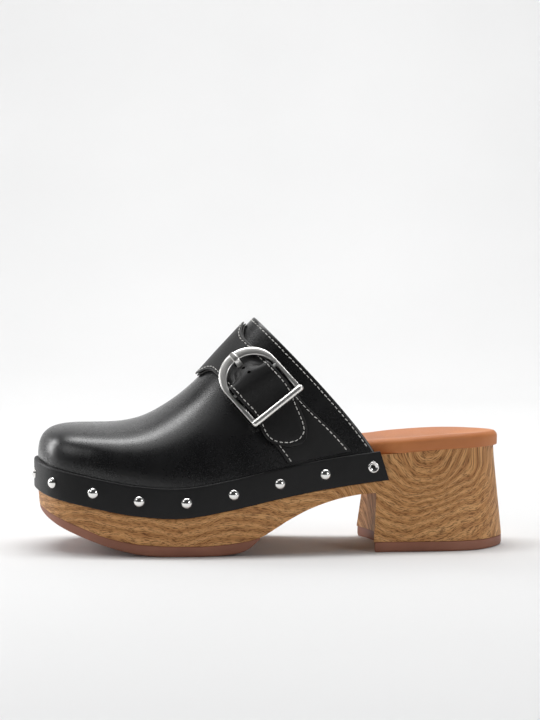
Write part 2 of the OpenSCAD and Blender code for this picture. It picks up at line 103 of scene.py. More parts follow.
def on_list(items, u):
    """Item of a list at a fractional index, as a smooth curve through the list."""
    p = np.array(items, float)
    n = len(p) - 1
    u = np.asarray(u, float)
    i = np.clip(np.floor(u).astype(int), 0, n - 1)
    a, d = p[np.maximum(i - 1, 0)], p[np.minimum(i + 2, n)]
    s, wa, wb = u - i, np.where(i > 0, 2, 1), np.where(i < n - 1, 2, 1)
    if p.ndim > 1:
        s, wa, wb = s[..., None], wa[..., None], wb[..., None]
    return hermite(p[i], p[i + 1], (p[i + 1] - a) / wa, (d - p[i]) / wb, s)


def smooth(a, b, x):
    s = np.clip((np.asarray(x, float) - a) / (b - a), 0, 1)
    return s * s * (3 - 2 * s)


def both_ways(items):
    return [items[abs(i)] for i in range(-(len(items) - 1), len(items))]


def edge_row(i):
    k = 9 if abs(i) > 10 else abs(i)
    outer = i > 0 if abs(i) > 10 else i < 0
    return SOLE_EDGE[k][0], SOLE_EDGE[k][1 if outer else 2]


EDGE = [edge_row(i) for i in range(-11, 12)]
SPINE = both_ways(SOLE_SPINE)
RIDGE = both_ways(RIDGE_D)
POWER = both_ways(SECTION_POWER)


def edge(t):
    return on_list(EDGE, np.asarray(t, float) + 11)


def edge_out(t):
    e = edge(np.asarray(t, float) + 0.01) - edge(np.asarray(t, float) - 0.01)
    n = np.stack([-e[..., 1], e[..., 0]], -1)
    return n / np.linalg.norm(n, axis=-1, keepdims=True)


def spine_d(t):
    return on_list(SPINE, np.asarray(t, float) + 10)


def placed(d, y, z):
    d, y, z = np.broadcast_arrays(d, y, z)
    return np.stack([d - MID_D, y, z], -1).astype(float)


def edge_at(t, out, z):
    """Point at station t, out from the sole's edge, at height z."""
    e, n = edge(t), edge_out(t)
    return placed(e[..., 0] + n[..., 0] * out, e[..., 1] + n[..., 1] * out, z)


def hollow(t):
    return HOLLOW_D * smooth(5.5, HEEL_T, np.abs(t)) * (1 - smooth(HEEL_T, 8.5, np.abs(t)))


def inward_d(t, f):
    d = edge(t)[..., 0]
    return d + (spine_d(t) - d) * f + hollow(t) * f * (2 - f)


def within(t, f, out, table, up):
    """Point a share f of the way in from the sole's edge to its middle line, at that table's height."""
    e, n = edge(t), edge_out(t)
    d = inward_d(t, f)
    z = np.maximum(0, at(table, d) + up)
    return placed(d + n[..., 0] * out * (1 - f), e[..., 1] * (1 - f) + n[..., 1] * out * (1 - f), z)


def upper(t, f, out):
    """Point of the upper at station t and angle f, from 0 at the sole to 90 on the ridge."""
    t, f, out = np.broadcast_arrays(np.asarray(t, float), np.asarray(f, float), np.asarray(out, float))
    e, n, p = edge(t), edge_out(t), on_list(POWER, t + 7)
    qd = on_list(RIDGE, t + 7)
    qz = at(RIDGE_Z, qd)
    g = (at(RIDGE_Z, qd + 1) - at(RIDGE_Z, qd - 1)) / 2
    up = np.stack([-g, np.ones_like(g)], -1) / np.sqrt(g * g + 1)[..., None]
    a = np.radians(np.clip(f, 0, 90))
    c, s = np.maximum(np.cos(a), 0) ** (2 / p), np.sin(a) ** (2 / p)
    sd = spine_d(t)
    ed, ey, ez = e[..., 0] + n[..., 0] * out, e[..., 1] + n[..., 1] * out, at(WOOD_TOP_Z, e[..., 0])
    return placed(ed + (sd - ed) * (1 - c) + (qd + up[..., 0] * out - sd) * s**THROAT_BOW,
                  ey + (RIDGE_Y - ey) * (1 - c), ez + (qz + up[..., 1] * out - ez) * s)


def over(t, f, out):
    """The upper, where f runs past 90 down the inner side and t is a station of the outer side."""
    t, f, out = np.broadcast_arrays(np.asarray(t, float), np.asarray(f, float), np.asarray(out, float))
    far = f > 90
    return upper(np.where(far, -t, t), np.where(far, 180 - f, f), out)


# ---------------------------------------------------------------- mesh helpers
def piece(name, verts, faces, mat, slot, body=ROOT, sharp_deg=None):
    """A new object from points in millimetres, which rides on a body."""
    mesh = bpy.data.meshes.new(name)
    mesh.from_pydata([tuple(v) for v in np.asarray(verts, float) * MM], [], [tuple(f) for f in faces])
    bm = bmesh.new()
    bm.from_mesh(mesh)
    bmesh.ops.remove_doubles(bm, verts=bm.verts, dist=1e-7)
    bmesh.ops.dissolve_degenerate(bm, dist=1e-8, edges=bm.edges)
    bmesh.ops.recalc_face_normals(bm, faces=bm.faces)
    bm.to_mesh(mesh)
    bm.free()
    obj = bpy.data.objects.new(name, mesh)
    bpy.context.scene.collection.objects.link(obj)
    mesh.materials.append(mat)
    mesh.shade_smooth()
    if sharp_deg:
        mesh.set_sharp_from_angle(angle=math.radians(sharp_deg))
    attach(obj, body)
    return obj


class Build:
    """Gathers grids of points into one mesh."""

    def __init__(self):
        self.verts, self.faces, self.n = [], [], 0

    def grid(self, p, wrap_u=False, wrap_v=False, cap_u=False, cap_v=False):
        """A grid of quads over p[u, v]; wraps join the last row to the first, caps close the ends."""
        u, v = p.shape[:2]
        self.verts.append(p.reshape(-1, 3))
        idx = np.arange(u * v).reshape(u, v) + self.n
        self.n += u * v
        rows = np.vstack([idx, idx[:1]]) if wrap_u else idx
        rows = np.hstack([rows, rows[:, :1]]) if wrap_v else rows
        quads = np.stack([rows[:-1, :-1], rows[1:, :-1], rows[1:, 1:], rows[:-1, 1:]], -1).reshape(-1, 4)
        self.faces.extend(quads.tolist())
        if cap_u:
            self.faces.extend([idx[0].tolist(), idx[-1][::-1].tolist()])
        if cap_v:
            self.faces.extend([idx[:, 0].tolist(), idx[:, -1][::-1].tolist()])
        return self

    def piece(self, name, mat, slot, **more):
        return piece(name, np.vstack(self.verts), self.faces, mat, slot, **more)


def spread(n, ease=1.7):
    """n + 1 values from 0 to 1, closer together near both ends."""
    u = np.linspace(0, 1, n + 1)
    return u**ease / (u**ease + (1 - u) ** ease)


def rounded(p, axis, radii, steps=4):
    """Rounds corners of the lines of points along one axis. radii maps an index to a radius in mm."""
    p = np.moveaxis(p, axis, 0)
    rows = []
    for i in range(len(p)):
        r = radii.get(i, 0)
        if not r:
            rows.append(p[i])
            continue
        back, on = p[i - 1] - p[i], p[(i + 1) % len(p)] - p[i]
        lb = np.linalg.norm(back, axis=-1, keepdims=True) + 1e-9
        lo = np.linalg.norm(on, axis=-1, keepdims=True) + 1e-9
        a = p[i] + back / lb * np.minimum(r, lb * 0.48)
        b = p[i] + on / lo * np.minimum(r, lo * 0.48)
        for k in range(steps + 1):
            u = k / steps
            rows.append(a * (1 - u) ** 2 + 2 * p[i] * u * (1 - u) + b * u * u)
    return np.moveaxis(np.array(rows), 0, axis)


def stack(rows):
    """A grid whose second axis runs through these rows of points."""
    return np.stack(np.broadcast_arrays(*rows), 1)


# ---------------------------------------------------------------- materials
def node_material(name):
    mat = bpy.data.materials.new(name)
    mat.use_nodes = True
    tree = mat.node_tree
    bsdf = tree.nodes["Principled BSDF"]
    return mat, tree, bsdf


def add(tree, kind, **values):
    node = tree.nodes.new(kind)
    for key, value in values.items():
        if hasattr(node, key):
            setattr(node, key, value)
        else:
            node.inputs[key.replace("_", " ")].default_value = value
    return node


def link(tree, a, b):
    tree.links.new(a, b)


def coords(tree, scale=(1, 1, 1)):
    tc = add(tree, "ShaderNodeTexCoord")
    mp = add(tree, "ShaderNodeMapping")
    mp.inputs["Scale"].default_value = scale
    link(tree, tc.outputs["Object"], mp.inputs["Vector"])
    return mp.outputs["Vector"]


def noise(tree, vector, scale, detail=3.0, rough=0.5):
    n = add(tree, "ShaderNodeTexNoise", Scale=scale, Detail=detail, Roughness=rough)
    link(tree, vector, n.inputs["Vector"])
    return n.outputs["Fac"]


def ramp(tree, fac, stops):
    r = add(tree, "ShaderNodeValToRGB")
    r.color_ramp.elements[0].position, r.color_ramp.elements[0].color = stops[0][0], (*stops[0][1], 1)
    r.color_ramp.elements[1].position, r.color_ramp.elements[1].color = stops[-1][0], (*stops[-1][1], 1)
    for pos, colour in stops[1:-1]:
        e = r.color_ramp.elements.new(pos)
        e.color = (*colour, 1)
    link(tree, fac, r.inputs["Fac"])
    return r.outputs["Color"]


def span(tree, fac, low, high, to_low, to_high):
    m = add(tree, "ShaderNodeMapRange")
    for key, value in (("From Min", low), ("From Max", high), ("To Min", to_low), ("To Max", to_high)):
        m.inputs[key].default_value = value
    link(tree, fac, m.inputs["Value"])
    return m.outputs["Result"]


def math_node(tree, op, a, b=None):
    m = add(tree, "ShaderNodeMath", operation=op)
    for socket, value in zip(m.inputs, (a, b)):
        if value is None:
            continue
        if isinstance(value, (int, float)):
            socket.default_value = value
        else:
            link(tree, value, socket)
    return m.outputs["Value"]


def bump(tree, bsdf, heights):
    """Chains bumps: each is (height socket, strength, distance in metres)."""
    normal = None
    for height, strength, distance in heights:
        b = add(tree, "ShaderNodeBump", Strength=strength, Distance=distance)
        link(tree, height, b.inputs["Height"])
        if normal:
            link(tree, normal, b.inputs["Normal"])
        normal = b.outputs["Normal"]
    link(tree, normal, bsdf.inputs["Normal"])


def leather(name, dark, light, rough, grain=0.25, pebble=900, cells=1500, coat=0.0, spec=0.5):
    """Smooth leather: fine pebbled grain, pores, faint creases and worn patches."""
    mat, tree, bsdf = node_material(name)
    vec = coords(tree)
    patches = noise(tree, vec, 28, 4, 0.55)
    fine = noise(tree, vec, pebble, 2, 0.6)
    v = add(tree, "ShaderNodeTexVoronoi", feature="DISTANCE_TO_EDGE", Scale=cells)
    link(tree, vec, v.inputs["Vector"])
    crease = noise(tree, coords(tree, (1, 0.35, 0.6)), 120, 5, 0.6)
    link(tree, ramp(tree, patches, [(0.3, dark), (0.72, light)]), bsdf.inputs["Base Color"])
    wear = math_node(tree, "ADD", span(tree, patches, 0.3, 0.7, rough - 0.05, rough + 0.06),
                     span(tree, fine, 0.3, 0.7, -0.03, 0.04))
    link(tree, wear, bsdf.inputs["Roughness"])
    bsdf.inputs["Specular IOR Level"].default_value = spec
    bsdf.inputs["Coat Weight"].default_value = coat
    bsdf.inputs["Coat Roughness"].default_value = 0.3
    cell_height = span(tree, v.outputs["Distance"], 0.0, 0.35, 0.0, 1.0)
    bump(tree, bsdf, [(crease, 0.12, 0.0006), (cell_height, grain, 0.00012), (fine, grain * 0.8, 0.0001)])
    return mat


def from_heart(tree, vector, centre, scale, less):
    """Distance of each point from a heart of the tree, as the rings see it, less a constant."""
    move = add(tree, "ShaderNodeVectorMath", operation="SUBTRACT")
    link(tree, vector, move.inputs[0])
    move.inputs[1].default_value = centre
    size = add(tree, "ShaderNodeVectorMath", operation="MULTIPLY")
    link(tree, move.outputs["Vector"], size.inputs[0])
    size.inputs[1].default_value = scale
    length = add(tree, "ShaderNodeVectorMath", operation="LENGTH")
    link(tree, size.outputs["Vector"], length.inputs[0])
    return math_node(tree, "SUBTRACT", length.outputs["Value"], less)


def warped(tree, vector, scale, amount, detail):
    """The coordinates, pushed about by a noise."""
    warp = add(tree, "ShaderNodeTexNoise", Scale=scale, Detail=detail, Roughness=0.5)
    link(tree, vector, warp.inputs["Vector"])
    shifted = add(tree, "ShaderNodeVectorMath", operation="MULTIPLY_ADD")
    link(tree, warp.outputs["Color"], shifted.inputs[0])
    shifted.inputs[1].default_value = amount
    link(tree, vector, shifted.inputs[2])
    return shifted.outputs["Vector"]


def tree_radius(tree, raw):
    """Distance from the nearer of two hearts: one in the heel, one far above the forefoot."""
    bent = warped(tree, raw, 16.0, (0.045, 0.03, 0.036), 2.5)
    bent = warped(tree, bent, 110.0, (0.0014, 0.0014, 0.0014), 2.0)
    soft = add(tree, "ShaderNodeMath", operation="SMOOTH_MIN")
    link(tree, from_heart(tree, bent, (0.107, -0.008, 0.082), (1.1, 1.0, 0.9), 0.0), soft.inputs[0])
    link(tree, from_heart(tree, bent, (-0.03, 0.01, 0.31), (0.3, 0.5, 1.0), 0.2), soft.inputs[1])
    soft.inputs[2].default_value = 0.012
    return soft.outputs["Value"]


def grain_vector(tree, raw, radius):
    """Coordinates that are much finer across the rings than along them."""
    along = add(tree, "ShaderNodeSeparateXYZ")
    link(tree, raw, along.inputs["Vector"])
    grain = add(tree, "ShaderNodeCombineXYZ")
    sources = (radius, along.outputs["X"], along.outputs["Y"])
    for socket, source, fine in zip(grain.inputs, sources, (2300.0, 330.0, 200.0)):
        link(tree, math_node(tree, "MULTIPLY", source, fine), socket)
    return grain.outputs["Vector"]


def wood_material():
    """Oiled wood: faint growth rings, with dark pores that run along them."""
    mat, tree, bsdf = node_material("wood_grain")
    raw = coords(tree)
    radius = tree_radius(tree, raw)
    ring = math_node(tree, "SINE", math_node(tree, "MULTIPLY", radius, 1300.0))
    grain = grain_vector(tree, raw, radius)
    pores, broad = noise(tree, grain, 1.0, 4, 0.65), noise(tree, grain, 0.22, 3, 0.6)
    blotch = noise(tree, raw, 30, 3, 0.5)
    tone = math_node(tree, "ADD", math_node(tree, "MULTIPLY", span(tree, ring, -1, 1, 0, 1), 0.24),
                     math_node(tree, "MULTIPLY", broad, 0.38))
    tone = math_node(tree, "ADD", tone, math_node(tree, "MULTIPLY", blotch, 0.3))
    base = ramp(tree, tone, [(0.27, (0.44, 0.19, 0.06)), (0.47, (0.62, 0.31, 0.11)),
                             (0.66, (0.74, 0.41, 0.165))])
    streak = ramp(tree, pores, [(0.4, (0.26, 0.2, 0.17)), (0.49, (0.86, 0.84, 0.82)), (0.56, (1, 1, 1))])
    mix = add(tree, "ShaderNodeMix", data_type="RGBA", blend_type="MULTIPLY")
    mix.inputs["Factor"].default_value = 0.85
    link(tree, base, mix.inputs["A"])
    link(tree, streak, mix.inputs["B"])
    link(tree, mix.outputs["Result"], bsdf.inputs["Base Color"])
    link(tree, span(tree, pores, 0.3, 0.7, 0.62, 0.46), bsdf.inputs["Roughness"])
    bsdf.inputs["Specular IOR Level"].default_value = 0.35
    bump(tree, bsdf, [(pores, 0.25, 0.0002)])
    return mat


def rubber_material():
    mat, tree, bsdf = node_material("tread_rubber")
    vec = coords(tree)
    blotch, fine = noise(tree, vec, 40, 3, 0.5), noise(tree, vec, 2200, 2, 0.5)
    link(tree, ramp(tree, blotch, [(0.3, (0.27, 0.105, 0.062)), (0.7, (0.35, 0.145, 0.09))]),
         bsdf.inputs["Base Color"])
    link(tree, span(tree, fine, 0.3, 0.7, 0.5, 0.66), bsdf.inputs["Roughness"])
    bump(tree, bsdf, [(fine, 0.2, 0.0001)])
    return mat


def metal_material(name, colour, rough, brushed=0.02, scale=500):
    mat, tree, bsdf = node_material(name)
    vec = coords(tree)
    fine, cloud = noise(tree, vec, scale, 3, 0.6), noise(tree, vec, 60, 2, 0.5)
    bsdf.inputs["Metallic"].default_value = 1.0
    low, high = tuple(c * 0.93 for c in colour), colour
    link(tree, ramp(tree, cloud, [(0.3, low), (0.7, high)]), bsdf.inputs["Base Color"])
    link(tree, span(tree, fine, 0.3, 0.7, rough - brushed, rough + brushed * 2), bsdf.inputs["Roughness"])
    bump(tree, bsdf, [(fine, 0.02, 0.000008)])
    return mat


def thread_material():
    mat, tree, bsdf = node_material("thread")
    vec = coords(tree)
    twist = noise(tree, vec, 2500, 2, 0.5)
    link(tree, ramp(tree, twist, [(0.3, (0.55, 0.54, 0.51)), (0.7, (0.80, 0.79, 0.76))]),
         bsdf.inputs["Base Color"])
    link(tree, span(tree, twist, 0.3, 0.7, 0.55, 0.75), bsdf.inputs["Roughness"])
    bump(tree, bsdf, [(twist, 0.3, 0.0001)])
    return mat


def floor_material():
    mat, tree, bsdf = node_material("paper")
    vec = coords(tree)
    tone = ramp(tree, noise(tree, vec, 3, 2, 0.5), [(0.3, (0.72, 0.72, 0.72)), (0.7, (0.74, 0.74, 0.74))])
    link(tree, tone, bsdf.inputs["Base Color"])
    bsdf.inputs["Roughness"].default_value = 0.9
    bsdf.inputs["Specular IOR Level"].default_value = 0.1
    return mat


BLACK = leather("vamp_leather", (0.0035, 0.0035, 0.004), (0.008, 0.008, 0.0085), 0.27, 0.07, spec=0.62)
STRAP_LEATHER = leather("strap_leather", (0.006, 0.006, 0.0063), (0.012, 0.0115, 0.0115), 0.42,
                        0.3, 1100, 1700, spec=0.3)
BAND_LEATHER = leather("band_leather", (0.006, 0.006, 0.0062), (0.011, 0.011, 0.0115), 0.46, 0.22, spec=0.25)
CUT_EDGE = leather("leather_cut_edge", (0.03, 0.028, 0.027), (0.06, 0.055, 0.05), 0.7, 0.5, 600, 900)
BACKING = leather("strap_backing_leather", (0.012, 0.011, 0.01), (0.024, 0.021, 0.019), 0.6, 0.3)
LINING = leather("lining_leather", (0.30, 0.15, 0.07), (0.42, 0.22, 0.11), 0.6, 0.25)
FOOTBED = leather("footbed_leather", (0.46, 0.15, 0.042), (0.60, 0.22, 0.07), 0.5, 0.3, 700, 1100, spec=0.4)
WOOD = wood_material()
RUBBER = rubber_material()
NICKEL = metal_material("satin_nickel", (0.93, 0.915, 0.885), 0.3, 0.025, 3200)
BRIGHT = metal_material("polished_nickel", (0.88, 0.87, 0.85), 0.13, 0.02, 300)
# Painted shade: the centre bar's nickel is coloured dark grey, so the bar seen in the gap beside the strap
# reads as in shadow.
SHADED_NICKEL = metal_material("shaded_bar_nickel", (0.22, 0.22, 0.215), 0.5)
# Painted shade: the rear nail heads are coloured near black, for the dark look of the eyelet's recessed
# centre.
SHADED_NAIL_STEEL = metal_material("nail_steel", (0.03, 0.03, 0.03), 0.6)
THREAD = thread_material()


# ---------------------------------------------------------------- sole
def wood_cut(t):
    return at(BAND_Z, edge(t)[..., 0]) - BAND_W / 2 - GAP


def toe_rake(t, z):
    return -1 * (1 - smooth(1, 3, np.abs(t))) * np.maximum(0, (33 - z) / 12)


def heel_out(t, z):
    top = 36.5 + 13.5 * smooth(7.3, 8.2, np.abs(t))
    return HEEL_FLARE * (0.3 + 0.7 * smooth(HEEL_T, 9, np.abs(t))) * np.maximum(0, (top - z) / top)


def heel_lean(t, z, f=0.0):
    on = np.abs(t) < HEEL_T + 0.01
    x = -(HEEL_LEAN_D + np.sign(t) * HEEL_TWIST_D * (1 - f)) * np.maximum(0, (31 - z) / 31)
    x = np.where(on, x, 0.0)
    return np.stack([x, x * 0, x * 0], -1)


def heel_bottom(t, f, z):
    e, n, out = edge(t), edge_out(t), heel_out(t, z) * (1 - f)
    p = placed(inward_d(t, f) + n[..., 0] * out, e[..., 1] * (1 - f) + n[..., 1] * out, z + 0 * e[..., 0])
    return p + heel_lean(t, z, f)


INWARD = (0.1, 0.25, 0.4, 0.6, 0.8, 1.0)
SIDE_STEPS = 8


def wood_rows(t, heel):
    """Rows of points from the top's middle, over the edge and down the side, to the bottom's middle."""
    d = edge(t)[..., 0]
    rebate = np.abs(t) < BAND_END if heel else np.ones_like(t, bool)
    toe_extra = (PUFF_T + GAP) * (1 - smooth(2.5, 3.4, np.abs(t)))
    inset = np.where(rebate, -LEDGE - toe_extra, 0.0)
    top = at(WOOD_TOP_Z, d)
    cut = np.where(rebate, wood_cut(t), top - 1)
    low = HEEL_TREAD_T + 0.05 + 0 * d if heel else at(WOOD_UNDER_Z, d)
    rows = [within(t, 1, 0, WOOD_TOP_Z, 0), edge_at(t, inset, top), edge_at(t, inset, cut)]
    for i in range(SIDE_STEPS + 1):
        z = cut - 0.01 + (low - cut) * i / SIDE_STEPS
        if heel:
            rows.append(edge_at(t, heel_out(t, z), z) + heel_lean(t, z))
        else:
            rows.append(edge_at(t, toe_rake(t, z), z))
    for f in INWARD:
        rows.append(heel_bottom(t, f, low) if heel else within(t, f, toe_rake(t, low), WOOD_UNDER_Z, 0))
    return rows


def wooden_sole():
    step = 0.1
    side = np.concatenate([[HEEL_T], np.arange(HEEL_T + 0.05, 10.001, step)])
    fore = np.linspace(-HEEL_T + 0.001, HEEL_T - 0.001, 141)
    parts = [stack(wood_rows(-side[::-1], True)), stack(wood_rows(fore, False)), stack(wood_rows(side, True))]
    p = np.concatenate(parts, 0)[1:]
    breast = len(side) - 1
    p = rounded(p, 0, {breast: 1.2, breast + len(fore) + 1: 1.2}, 4)
    p = rounded(p, 1, {3: 0.4, 3 + SIDE_STEPS: 0.5}, 3)
    b = Build()
    b.grid(p, wrap_u=True)
    obj = b.piece("wooden_sole_body", WOOD, "wood", sharp_deg=38)
    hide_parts("wooden_sole")


def forefoot_tread():
    t = np.linspace(-5.09, 5.09, 121)
    low = at(WOOD_UNDER_Z, edge(t)[..., 0])
    out = toe_rake(t, low)
    rows = [within(t, f, out - 0.15, WOOD_UNDER_Z, -0.05) for f in (1, 0.66, 0.33, 0)]
    rows += [within(t, f, out - 0.4, TREAD_Z, 0) for f in (0, 0.15, 0.33, 0.66, 1)]
    p = rounded(stack(rows), 1, {3: 0.3, 4: 1.1}, 4)
    b = Build()
    b.grid(p, cap_u=True)
    obj = b.piece("forefoot_tread_rubber", RUBBER, "rubber", sharp_deg=38)
    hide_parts("forefoot_tread")


def heel_tread():
    t = np.concatenate([np.arange(HEEL_T, 10.001, 0.1), np.arange(-9.9, -HEEL_T + 0.001, 0.1)])
    front = [heel_bottom(np.array([-1.0 * HEEL_T]), f, HEEL_TREAD_T) for f in INWARD]
    front += [heel_bottom(np.array([1.0 * HEEL_T]), f, HEEL_TREAD_T) for f in INWARD[-2::-1]]
    ring = np.concatenate([heel_bottom(t, 0.0, HEEL_TREAD_T)] + front)
    ring = rounded(ring, 0, {len(t) - 1: 1.2, 0: 1.2}, 3)
    centre = ring.mean(0)
    inward = centre - ring
    inward /= np.linalg.norm(inward, axis=1, keepdims=True)

    def at_height(inset, z):
        q = ring + inward * inset
        q[:, 2] = z
        return q

    levels = [(25, HEEL_TREAD_T), (0.5, HEEL_TREAD_T), (0.2, HEEL_TREAD_T - 0.2), (0.15, 4), (0.15, 1.2),
              (0.45, 0.4), (1.0, 0.02), (25, 0)]
    p = np.stack([at_height(i, z) for i, z in levels], 1)
    b = Build()
    b.grid(p, wrap_u=True, cap_v=True)
    obj = b.piece("heel_tread_rubber", RUBBER, "rubber", sharp_deg=38)
    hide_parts("heel_tread")


def footbed():
    t = np.linspace(-10, 10, 241)[:-1]
    out = -4.2 + 5 * smooth(7, 7.5, np.abs(t)) + 1.2 * smooth(9, 10, np.abs(t))
    rows = []
    for f in (1, 0.85, 0.7, 0.5, 0.35, 0.2, 0.1):
        dish = -2.5 * f * smooth(5.5, 7.5, np.abs(t))
        rows.append(within(t, f, out, WOOD_TOP_Z, FOOTBED_T + 0.3 + dish))
    rows.append(within(t, 0, out - 1.6, WOOD_TOP_Z, FOOTBED_T))
    rows.append(within(t, 0, out, WOOD_TOP_Z, FOOTBED_T - 1.8))
    rows.append(within(t, 0, out + 0.05, WOOD_TOP_Z, FOOTBED_T * 0.5))
    rows.append(within(t, 0, out - 0.1, WOOD_TOP_Z, GAP))
    rows += [within(t, f, out, WOOD_TOP_Z, GAP) for f in (0.3, 0.65, 1)]
    p = rounded(stack(rows), 1, {7: 1.3, 8: 1.1, 10: 0.5}, 4)
    b = Build()
    b.grid(p, wrap_u=True)
    obj = b.piece("footbed_cushion", FOOTBED, "footbed_leather", sharp_deg=50)
    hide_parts("footbed_cover", "footbed_foam")


# ---------------------------------------------------------------- upper
LAYER_STEPS = 44


def layer(t, out, thick, low):
    """Closed leather layer over stations t, its outside `out` from the upper's surface."""
    f = 90 * (1 - spread(LAYER_STEPS))
    tt, ff = np.meshgrid(t, f, indexing="ij")
    o = np.broadcast_to(np.asarray(out, float)[:, None] if np.ndim(out) else out, tt.shape)
    inner = upper(tt, ff, o - thick)[:, ::-1]
    z = at(BAND_Z, edge(t)[..., 0]) - BAND_W / 2 + low
    outs = np.asarray(out, float) + 0 * t
    skirt = [edge_at(t, outs, z), edge_at(t, outs - thick, z)]
    return np.concatenate([upper(tt, ff, o), stack(skirt), inner], 1)


def vamp():
    near = [0.012, 0.035, 0.075]
    t = np.concatenate([[-7.0], [-7 + x for x in near], np.linspace(-6.86, 6.86, 160),
                        [7 - x for x in near[::-1]], [7.0]])
    p = layer(t, 0.0, LEATHER_T, 0.5)
    half = LAYER_STEPS + 2
    # soft roll of the throat's edge
    for col, share in ((0, 0.45), (1, 0.8), (2, 0.95), (-1, 0.45), (-2, 0.8), (-3, 0.95)):
        outer, inner = p[col, :half].copy(), p[col, half:][::-1].copy()
        mid = (outer + inner) / 2
        p[col, :half] = mid + (outer - mid) * share
        p[col, half:] = (mid + (inner - mid) * share)[::-1]
    b = Build()
    b.grid(p)
    for col, flip in ((0, 1), (-1, -1)):
        b.grid(np.stack([p[col, :half], p[col, half:][::-1]])[::flip])
    obj = b.piece("vamp_leather_upper", BLACK, "black_leather", sharp_deg=60)
    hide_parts("vamp")


def vamp_lining():
    t = np.linspace(-6.97, 6.97, 141)
    out = -LEATHER_T - 2 * GAP - (PUFF_T + GAP) * (1 - smooth(2.6, 3.4, np.abs(t)))
    p = layer(t, out, LINING_T, 0.5)
    half = p.shape[1] // 2
    b = Build()
    b.grid(p)
    for col in (0, -1):
        b.grid(np.stack([p[col, :half], p[col, half:][::-1]]))
    obj = b.piece("vamp_lining_leather", LINING, "lining", sharp_deg=60)
    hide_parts("vamp_lining")


# Corners of the band's section: distance out from the sole's edge, and share of its width from its middle
BAND_SECTION = [(0.1, -0.5), (BAND_T - 0.35, -0.5), (BAND_T, -0.47), (BAND_T, 0.45),
                (BAND_T - 0.45, 0.5), (0.1, 0.5)]


def studded_band():
    t = np.linspace(-BAND_END, BAND_END, 181)
    rows = []
    for out, up in BAND_SECTION:
        at_end = np.abs(t) > BAND_END - 1e-6
        lean = np.where(at_end, 0.2 * (0.5 - up) * np.sign(t), 0.0)
        # the slanted end's lower corner is trimmed round
        trim = np.where(at_end, -0.035 * np.sign(t) * (up < -0.4), 0.0)
        tt = t + lean + trim
        d = edge(tt)[..., 0]
        rows.append(edge_at(tt, out, at(BAND_Z, d) + up * BAND_W))
    p = rounded(stack(rows), 1, {1: 0.3, 2: 0.3, 3: 0.5, 4: 0.4}, 3)
    b = Build()
    b.grid(p, wrap_v=True, cap_u=True)
    obj = b.piece("studded_band_leather", BAND_LEATHER, "band_leather", sharp_deg=50)
    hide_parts("studded_band")


def band_frame(t):
    """A point on the band's middle line, with the directions along, up and out from it."""
    p = edge_at(np.array(t), BAND_T + GAP / 2, at(BAND_Z, edge(np.array(t))[..., 0]))
    n = edge_out(np.array(t))
    z = np.array([n[0], n[1], 0.0])
    x = np.array([-n[1], n[0], 0.0])
    return p, x, np.array([0, 0, 1.0]), z


def lathe(build, origin, x, y, z, profile, sides=32):
    """Turns (radius, height) points round z."""
    a = np.linspace(0, 2 * math.pi, sides, endpoint=False)
    ring = np.cos(a)[:, None] * x + np.sin(a)[:, None] * y
    p = np.stack([origin + ring * r + z * h for r, h in profile], 0)
    build.grid(p, wrap_v=True, cap_u=True)


STUD_D, STUD_H, STUD_PITCH = 5.8, 1.7, 24.1
FIRST_STUD = 8.4     # from the toe tip, along the outer side
SHANK_R, SHANK_L = 0.65, 8.5
REAR_NAIL_T = 6.93


def stud_stations():
    """Stations of the studs, one pitch apart along the sole's edge."""
    out = []
    for side in (-1, 1):
        t = np.arange(0, 7.2, 0.05)
        steps = np.linalg.norm(edge(side * (t + 0.05)) - edge(side * t), axis=-1)
        length = np.concatenate([[0], np.cumsum(steps)])[:-1]
        for i in range(0 if side < 0 else 1, 8):
            out.append(side * float(np.interp(i * STUD_PITCH - side * FIRST_STUD, length, t)))
    return out


def studs():
    b = Build()
    r = STUD_D / 2
    dome_r = (STUD_D**2 / 4 + STUD_H**2) / (2 * STUD_H)
    turns = np.linspace(0.02, math.asin(r / dome_r), 9)
    dome = [(dome_r * math.sin(a), STUD_H - dome_r + dome_r * math.cos(a)) for a in turns]
    profile = dome + [(r, 0.0), (r - 0.4, -0.03), (SHANK_R, -0.03), (SHANK_R, -SHANK_L)]
    for t in stud_stations():
        lathe(b, *band_frame(t), profile)
    obj = b.piece("dome_studs", BRIGHT, "bright_nickel", sharp_deg=40)
    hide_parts("studs")
    return obj


def rear_fixings():
    eye, nail = Build(), Build()
    ring = [(0.8, 0.12), (3.0, 0.12), (3.0, 0.3), (2.85, 0.6), (2.55, 0.84), (2.25, 0.9), (1.95, 0.8),
            (1.6, 0.5), (1.35, 0.3), (0.85, 0.28)]
    head = [(0.05, 0.82), (0.5, 0.8), (0.85, 0.7), (1.05, 0.5), (1.1, 0.36), (SHANK_R, 0.33),
            (SHANK_R, -SHANK_L)]
    for side in (-1, 1):
        lathe(eye, *band_frame(side * REAR_NAIL_T), ring, 40)
        lathe(nail, *band_frame(side * REAR_NAIL_T), head, 24)
    a = eye.piece("rear_eyelet_rings", BRIGHT, "bright_nickel", sharp_deg=40)
    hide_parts("rear_eyelets")
    # The nail heads' near-black steel is painted shade.
    c = nail.piece("rear_nail_heads", SHADED_NAIL_STEEL, "nail_steel", sharp_deg=40)
    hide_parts("rear_nails")


# ---------------------------------------------------------------- strap and tab
BAR_F, TIP_F, BAR_H, BAR_R, LOOP_T, TAB_T, STRAP_T = 42, 9, 3.8, 1.1, 0.9, 1.1, 0.95
MM_PER_DEGREE = 1.06   # along the strap, against the angle up the upper
LAYERS_GAP = 0.45      # between the strap and its backing


def strap_mid(f):
    """Station of the strap's middle line at angle f up the outer side."""
    return -5.89 - 0.19 * smooth(12, 33, f) + 0.04 * smooth(60, 90, f)


def strap_wide(f):
    """Half width of the strap at angle f, in stations."""
    return 0.46 - 0.07 * (1 - smooth(22, 36, f)) + 0.28 * smooth(66, 90, np.minimum(f, 180 - f)) ** 1.5


